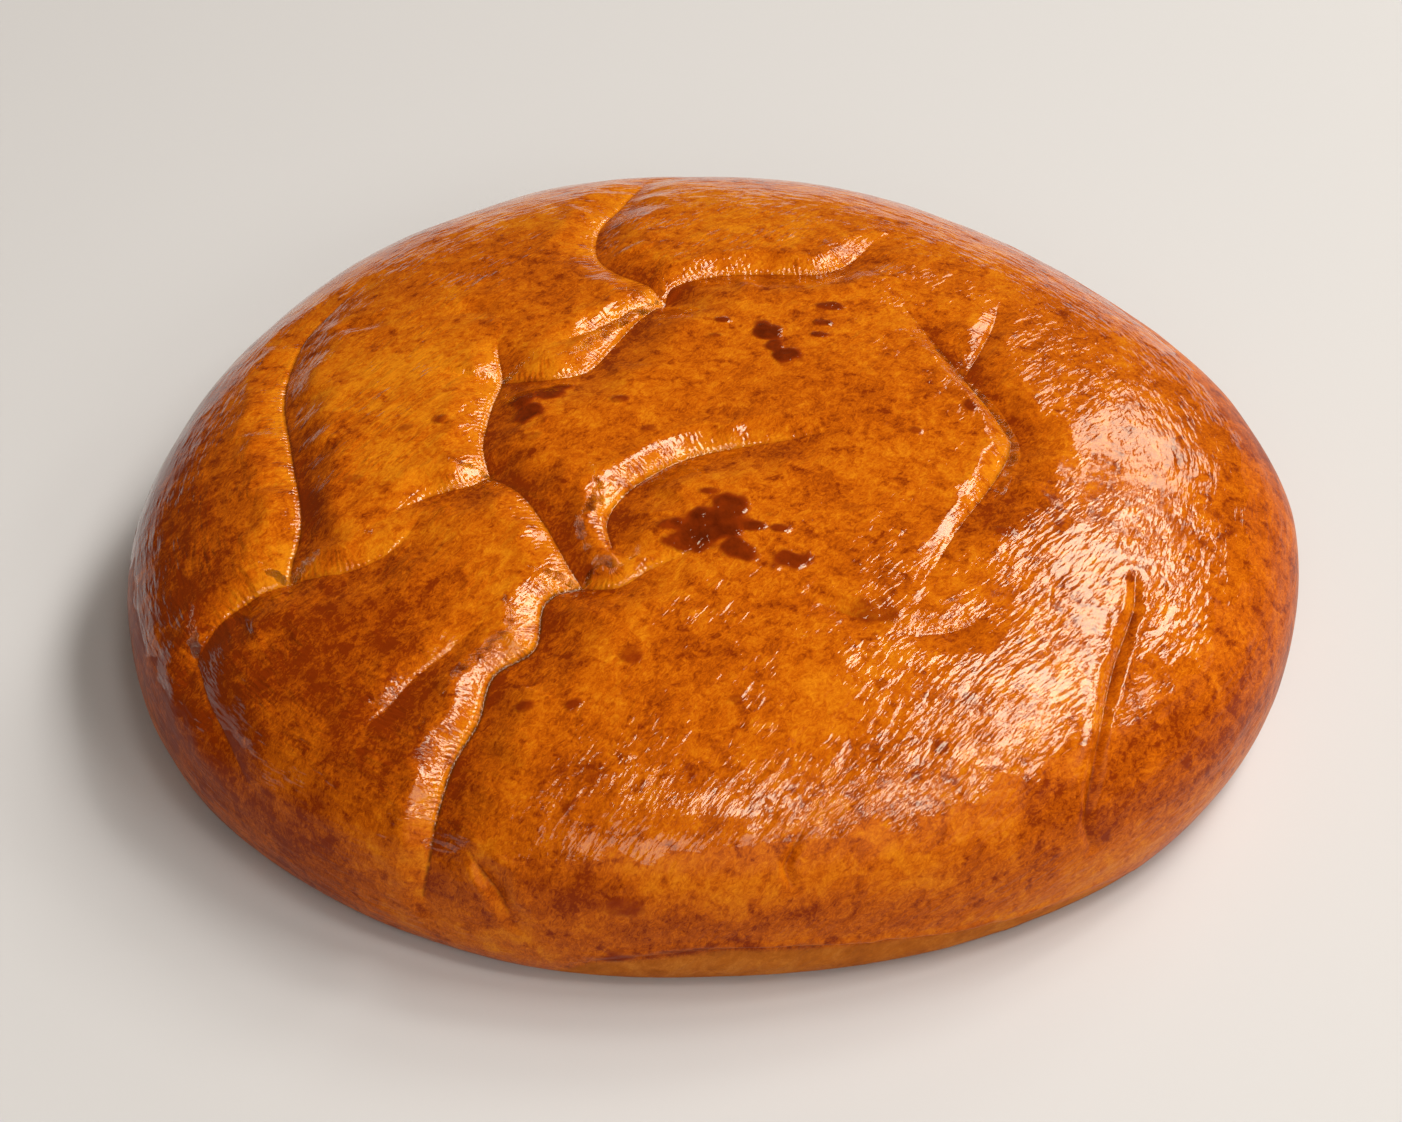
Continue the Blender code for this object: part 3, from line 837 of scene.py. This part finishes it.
# %% The browning group
def make_browning_group():
    """Patches, mottle, specks and fibres of browning, mixed between three colours."""
    group, start, end = start_group(
        "bread_browning",
        [("Light", "NodeSocketColor", (0.8, 0.3, 0.05, 1)),
         ("Middle", "NodeSocketColor", (0.6, 0.15, 0.02, 1)),
         ("Dark", "NodeSocketColor", (0.3, 0.06, 0.01, 1)), ("Patches", "NodeSocketFloat", 0.3),
         ("Mottle", "NodeSocketFloat", 0.3), ("Specks", "NodeSocketFloat", 0.3),
         ("Fibres", "NodeSocketFloat", 0.2), ("Shift", "NodeSocketFloat", 0.0)],
        [("Colour", "NodeSocketColor"), ("Brown", "NodeSocketFloat")])
    place = add_node(group, "ShaderNodeTexCoord").outputs["Object"]
    ways = place_group(group, skin_ways, {"Stretch": 1.6})
    patches = noise(group, place, 42.0, 3.0, 0.55)
    mottle = noise(group, place, 190.0, 6.0, 0.72, 0.6)
    specks = ramp(group, noise(group, place, 300.0, 3.0), 0.56, 0.70)
    fibres = noise(group, ways.outputs["Across"], 900.0, 5.0, 0.8, 1.5)
    total = start.outputs["Shift"]
    for uneven, label in ((patches, "Patches"), (mottle, "Mottle"), (fibres, "Fibres")):
        from_middle = maths(group, "SUBTRACT", uneven, 0.5)
        total = maths(group, "MULTIPLY_ADD", from_middle, start.outputs[label], total)
    total = maths(group, "MULTIPLY_ADD", specks, start.outputs["Specks"], total)
    brown = maths(group, "ADD", total, 0.5, clamp=True)
    lower = maths(group, "MULTIPLY", brown, 2.0, clamp=True)
    upper = maths(group, "MULTIPLY_ADD", brown, 2.0, -1.0, clamp=True)
    colour = mix_colours(group, lower, start.outputs["Light"], start.outputs["Middle"])
    colour = mix_colours(group, upper, colour, start.outputs["Dark"])
    group.links.new(colour, end.inputs["Colour"])
    group.links.new(brown, end.inputs["Brown"])
    return group


browning = make_browning_group()
print("browning group:", len(browning.nodes), "nodes")

# %% [markdown]
# ## Crepe
# In the mirror-like highlights the glaze shows a crepe: fine streaks a millimetre or two
# apart, low swells under them, and sharp creases where it crumpled. Over the top they all run
# one way, and near the rim they run round the loaf. Noise squeezed along one direction makes
# the streaks and swells. Noise folded over at its middle value has a sharp crease there. A
# patchy mask leaves some places smoother than others. Burnt sugar dries in tiny bubbles,
# which catch a glint here and there.


# %% The crepe group
def make_crepe_group():
    """The glaze's streaks, swells and creases, and bubbles on burnt spots, in millimetres."""
    group, start, end = start_group(
        "crust_crepe",
        [("Streaks", "NodeSocketFloat", 0.2), ("Swells", "NodeSocketFloat", 0.3),
         ("Creases", "NodeSocketFloat", 0.5), ("Bubbles", "NodeSocketFloat", 0.3)],
        [("Height", "NodeSocketFloat")])
    ways = place_group(group, skin_ways, {})
    ring_share = read_mask(group, "ring_way")

    def both_ways(scale, detail):
        """The same noise run across the loaf and round it, blended between the two."""
        across = noise(group, ways.outputs["Across"], scale, detail, 0.55)
        round_ = noise(group, ways.outputs["Round"], scale, detail, 0.55)
        mix = add_node(group, "ShaderNodeMix", {0: ring_share, 2: across, 3: round_})
        return maths(group, "SUBTRACT", mix.outputs[0], 0.5)

    place = add_node(group, "ShaderNodeTexCoord").outputs["Object"]
    crumpled = ramp(group, noise(group, place, 130.0, 1.0), 0.40, 0.62, 0.45, 1.4)
    streaks = maths(group, "MULTIPLY", both_ways(900.0, 2.0), crumpled)
    height = maths(group, "MULTIPLY", streaks, start.outputs["Streaks"])
    height = maths(group, "MULTIPLY_ADD", both_ways(240.0, 1.0), start.outputs["Swells"], height)
    crease = maths(group, "MULTIPLY", maths(group, "ABSOLUTE", both_ways(300.0, 2.0)), crumpled)
    height = maths(group, "MULTIPLY_ADD", crease, start.outputs["Creases"], height)
    bubbles = maths(group, "MULTIPLY", noise(group, place, 420.0, 2.0), read_mask(group, "burnt"))
    bubbles = maths(group, "MULTIPLY", bubbles, start.outputs["Bubbles"])
    height = maths(group, "MULTIPLY_ADD", height, read_mask(group, "crepe"), bubbles)
    group.links.new(height, end.inputs["Height"])
    return group


crepe = make_crepe_group()
print("crepe group:", len(crepe.nodes), "nodes")

# %% [markdown]
# ## Hatching across the folds
# Where the crust was drawn together into a fold it puckered: fine ribs cross each lip at
# right angles to the fold, about a millimetre apart. The mesh keeps how far along its fold
# and how far from it each point is, so a sine of the first, faded by the second, draws them.
# Noise makes the ribs wander and breaks them up. The very edge of the lip is a row of tiny
# beads.


# %% The hatching group
RIB_WANDER = 9.0
RIB_LEAN = 0.7
BEAD_PLACE = 0.9
BEAD_WIDTH = 0.6


def make_hatching_group():
    """Fine ribs across the lips and beads along their edge, as a height in millimetres."""
    group, start, end = start_group(
        "fold_hatching", [("Spacing", "NodeSocketFloat", 1.2), ("Ribs", "NodeSocketFloat", 0.02),
                          ("Beads", "NodeSocketFloat", 0.1)],
        [("Height", "NodeSocketFloat")])
    gap = read_mask(group, "fold_gap")
    run = read_mask(group, "fold_run")
    lip = read_mask(group, "fold_lip")
    place = add_node(group, "ShaderNodeTexCoord").outputs["Object"]
    wander = noise(group, place, 300.0, 2.0)
    turn = maths(group, "MULTIPLY", maths(group, "DIVIDE", run, start.outputs["Spacing"]), 2 * math.pi)
    turn = maths(group, "MULTIPLY_ADD", wander, RIB_WANDER, turn)
    turn = maths(group, "MULTIPLY_ADD", gap, RIB_LEAN, turn)
    wave = maths(group, "SINE", turn)
    height = maths(group, "MULTIPLY", maths(group, "MULTIPLY", wave, lip), start.outputs["Ribs"])
    height = maths(group, "MULTIPLY", height, ramp(group, wander, 0.42, 0.66))
    beside = maths(group, "SUBTRACT", maths(group, "ABSOLUTE", gap), BEAD_PLACE)
    beside = maths(group, "ABSOLUTE", beside)
    row = ramp(group, beside, BEAD_WIDTH, 0.0, interpolation_type="SMOOTHSTEP")
    dots = maths(group, "MULTIPLY_ADD", wave, 0.3, 0.7)
    strength = maths(group, "MULTIPLY", lip, start.outputs["Beads"])
    row = maths(group, "MULTIPLY", maths(group, "MULTIPLY", row, dots), strength)
    group.links.new(maths(group, "ADD", height, row), end.inputs["Height"])
    return group


hatching = make_hatching_group()
print("hatching group:", len(hatching.nodes), "nodes")

# %% [markdown]
# ## The colour of the crust
# The upper crust and the dull flank are one crust, so they share this group: the browning
# with its patches of painted shade, painted light on the lips and painted shade in the valleys
# along the folds, burnt blisters, and painted shade along the line where two lips touch. Its
# one socket says how bare the dough is, because dough that the wash never reached is paler.


# %% The crust colour group
WASHED = {"Light": (0.72, 0.225, 0.006, 1), "Middle": (0.52, 0.104, 0.0015, 1),
          "Dark": (0.215, 0.025, 0.0004, 1),
          "Patches": 0.85, "Mottle": 1.5, "Specks": 0.35, "Fibres": 1.9}
BARE = {"Light": (0.66, 0.24, 0.035, 1), "Middle": (0.46, 0.125, 0.010, 1),
        "Dark": (0.27, 0.06, 0.004, 1),
        "Patches": 0.8, "Mottle": 1.2, "Specks": 0.2, "Fibres": 1.0}
SINGED = (0.24, 0.028, 0.001, 1)
CHARRED = (0.105, 0.010, 0.0003, 1)
SLIT_PAINTED_SHADE = (0.13, 0.024, 0.001, 1)
BROWNING_AND_SHADE_SHARE = 0.55
RAGGED_SHARE = 0.7


def make_crust_colour_group():
    """The crust's colour, with painted light and shade at the folds, and how brown it is."""
    group, start, end = start_group(
        "crust_colour", [("Bare", "NodeSocketFloat", 0.0)],
        [("Colour", "NodeSocketColor"), ("Brown", "NodeSocketFloat")])
    # The browning is shifted by browning and painted shade from the patches, and by painted light and
    # shade along the folds
    browning_and_shade = read_mask(group, "browning_and_shade")
    shift = maths(group, "MULTIPLY_ADD", browning_and_shade, BROWNING_AND_SHADE_SHARE, read_mask(group, "fold_light_and_shade"))
    washed = place_group(group, browning, {**WASHED, "Shift": shift})
    bare = place_group(group, browning, {**BARE, "Shift": 0.0})
    place = add_node(group, "ShaderNodeTexCoord").outputs["Object"]
    ragged = maths(group, "SUBTRACT", noise(group, place, 350.0, 3.0), 0.5)
    edge = maths(group, "MULTIPLY_ADD", ragged, RAGGED_SHARE, read_mask(group, "burnt"))
    broken = ramp(group, noise(group, place, 700.0, 1.0), 0.30, 0.55, 0.4)
    broken = maths(group, "MULTIPLY", read_mask(group, "fold_line"), broken)
    gap = maths(group, "ABSOLUTE", read_mask(group, "fold_gap"))
    # Painted shade: a dark line where the two lips of a fold touch
    slit = maths(group, "MULTIPLY", ramp(group, gap, 0.6, 0.1), broken, clamp=True)
    colour = mix_colours(group, ramp(group, edge, 0.1, 0.6), washed.outputs["Colour"], SINGED)
    colour = mix_colours(group, ramp(group, edge, 0.6, 1.1), colour, CHARRED)
    colour = mix_colours(group, slit, colour, SLIT_PAINTED_SHADE)
    colour = mix_colours(group, start.outputs["Bare"], colour, bare.outputs["Colour"])
    group.links.new(colour, end.inputs["Colour"])
    group.links.new(washed.outputs["Brown"], end.inputs["Brown"])
    return group


crust_colour = make_crust_colour_group()
print("crust colour group:", len(crust_colour.nodes), "nodes")

# %% [markdown]
# ## The glazed crust
# Egg wash bakes to a clear, hard gloss over the browned dough. The gloss is the shader's own
# mirror layer, nearly smooth, and the crepe and the hatching bend it.


# %% The glazed crust's material
def make_glazed_crust():
    """Amber brown crust under a clear gloss."""
    material, tree, shader = start_material("glazed_crust")
    skin = place_group(tree, crust_colour, {"Bare": 0.0})
    tree.links.new(skin.outputs["Colour"], shader.inputs["Base Color"])
    wrinkles = place_group(tree, crepe, {"Streaks": 0.20, "Swells": 0.28, "Creases": 0.72,
                                         "Bubbles": 0.6})
    ribs = place_group(tree, hatching, {"Spacing": 1.25, "Ribs": 0.07, "Beads": 0.10})
    height = maths(tree, "ADD", wrinkles.outputs["Height"], ribs.outputs["Height"])
    bend_normal(tree, shader, height)
    rough = maths(tree, "MULTIPLY_ADD", skin.outputs["Brown"], 0.05, 0.06)
    tree.links.new(rough, shader.inputs["Roughness"])
    shader.inputs["IOR"].default_value = 1.5
    return material


# %% [markdown]
# ## The dull flank and base
# Low on the flank the wash soaked in and left only a faint sheen, and the base is bare.


# %% The dull crust's material
def make_dull_crust():
    """The same crust with hardly any sheen, and bare dough at its foot."""
    material, tree, shader = start_material("dull_crust")
    bare = read_mask(tree, "unwashed")
    skin = place_group(tree, crust_colour, {"Bare": bare})
    tree.links.new(skin.outputs["Colour"], shader.inputs["Base Color"])
    wrinkles = place_group(tree, crepe, {"Streaks": 0.12, "Swells": 0.30, "Creases": 0.3})
    bend_normal(tree, shader, wrinkles.outputs["Height"])
    rough = maths(tree, "MULTIPLY_ADD", bare, 0.3, 0.35)
    tree.links.new(rough, shader.inputs["Roughness"])
    shader.inputs["Specular IOR Level"].default_value = 0.08
    return material


crust.data.materials.clear()
crust.data.materials.append(make_glazed_crust())
crust.data.materials.append(make_dull_crust())
mark_dull_faces(crust.data)

# %% [markdown]
# ## Floor, light and camera
# The loaf stands on a plain pale floor. A glossy crust is a map of the lamps round it, so
# each highlight says in which direction a lamp must hang. A chain of small soft lamps, from
# behind on the right round to the front, draws them all, and each is placed by its direction
# as seen from the loaf. Two wide fill lamps only brighten the front: the gloss doesn't mirror
# them, as that would lay a pale veil over the crust. The room is dim and warm, and where it
# is seen past the floor it takes about the floor's own shade. The camera looks down from in
# front through a long lens.

# %% Floor
FLOOR_SIZE = 6.0
FLOOR_GAP = 0.0002
FLOOR_COLOUR = (0.62, 0.625, 0.785, 1.0)


def make_floor():
    """A plain pale floor just under the loaf."""
    bpy.ops.mesh.primitive_plane_add(size=FLOOR_SIZE, location=(0, 0, -FLOOR_GAP))
    floor = bpy.context.object
    floor.name = "floor"
    material, _, shader = start_material("pale_floor")
    shader.inputs["Base Color"].default_value = FLOOR_COLOUR
    shader.inputs["Roughness"].default_value = 0.8
    floor.data.materials.append(material)


make_floor()

# %% Lights
LOAF_MIDDLE = Vector((0.0, 0.0, 0.03))
WARM_WHITE = (1.0, 0.95, 0.72)
Lamp = namedtuple("Lamp", "name azimuth elevation distance size watts mirrored")

LAMPS = (
    Lamp("key_light", 42, 45, 2.0, 0.56, 12.0, True),
    Lamp("far_light", 58, 29, 2.0, 0.44, 3.6, True),
    Lamp("right_light", 3, 40, 2.0, 0.28, 2.0, True),
    Lamp("middle_light", 24, 60, 2.0, 0.50, 11.6, True),
    Lamp("turn_light", -12, 60, 2.0, 0.48, 9.8, True),
    Lamp("top_light", -68, 66, 2.0, 0.34, 4.6, True),
    Lamp("side_light", -44, 52, 2.0, 0.34, 4.6, True),
    Lamp("corner_light", -56, 32, 2.0, 0.44, 4.2, True),
    Lamp("front_fill", -82, 50, 2.0, 1.80, 3.2, False),
    Lamp("low_fill", -86, 17, 1.6, 1.80, 2.6, False),
    Lamp("low_light", -88, 36, 1.6, 0.72, 4.6, True),
)


def add_soft_light(lamp):
    """A square soft light in the lamp's direction, turned to the loaf."""
    light = bpy.data.lights.new(lamp.name, "AREA")
    light.size = lamp.size
    light.energy = lamp.watts
    light.color = WARM_WHITE
    holder = bpy.data.objects.new(lamp.name, light)
    holder.visible_glossy = lamp.mirrored
    bpy.context.scene.collection.objects.link(holder)
    around = math.radians(lamp.azimuth)
    up = math.radians(lamp.elevation)
    flat = math.cos(up)
    direction = Vector((flat * math.cos(around), flat * math.sin(around), math.sin(up)))
    holder.location = LOAF_MIDDLE + direction * lamp.distance
    holder.rotation_euler = direction.to_track_quat("Z", "Y").to_euler()


for lamp in LAMPS:
    add_soft_light(lamp)
print(len(LAMPS), "lamps,", round(sum(lamp.watts for lamp in LAMPS), 1), "watts")

# %% Room
WARM_ROOM = (0.080, 0.053, 0.024, 1.0)
BACKDROP = (0.085, 0.070, 0.055, 1.0)


def make_room():
    """A dim warm room, with its own plain shade where it is seen behind the floor."""
    world = bpy.data.worlds.new("studio")
    bpy.context.scene.world = world
    world.use_nodes = True
    tree = world.node_tree
    seen = add_node(tree, "ShaderNodeLightPath").outputs["Is Camera Ray"]
    room = mix_colours(tree, seen, WARM_ROOM, BACKDROP)
    tree.links.new(room, tree.nodes["Background"].inputs["Color"])


make_room()
bpy.context.scene.view_settings.view_transform = "Standard"

# %% Camera
IMAGE_WIDTH = 1402
FOCAL_PIXELS = 3600
SENSOR_MM = 36
CAMERA_PLACE = (-0.0047, -0.6136, 0.5248)
CAMERA_TURN = (50.19, -0.17, -0.01)


def add_camera():
    """The photograph's own view: a long lens, forty degrees above the table."""
    lens = bpy.data.cameras.new("camera")
    lens.sensor_width = SENSOR_MM
    lens.lens = FOCAL_PIXELS / IMAGE_WIDTH * SENSOR_MM
    lens.clip_start = 0.01
    camera = bpy.data.objects.new("camera", lens)
    bpy.context.scene.collection.objects.link(camera)
    camera.location = CAMERA_PLACE
    camera.rotation_euler = [math.radians(angle) for angle in CAMERA_TURN]
    bpy.context.scene.camera = camera


add_camera()
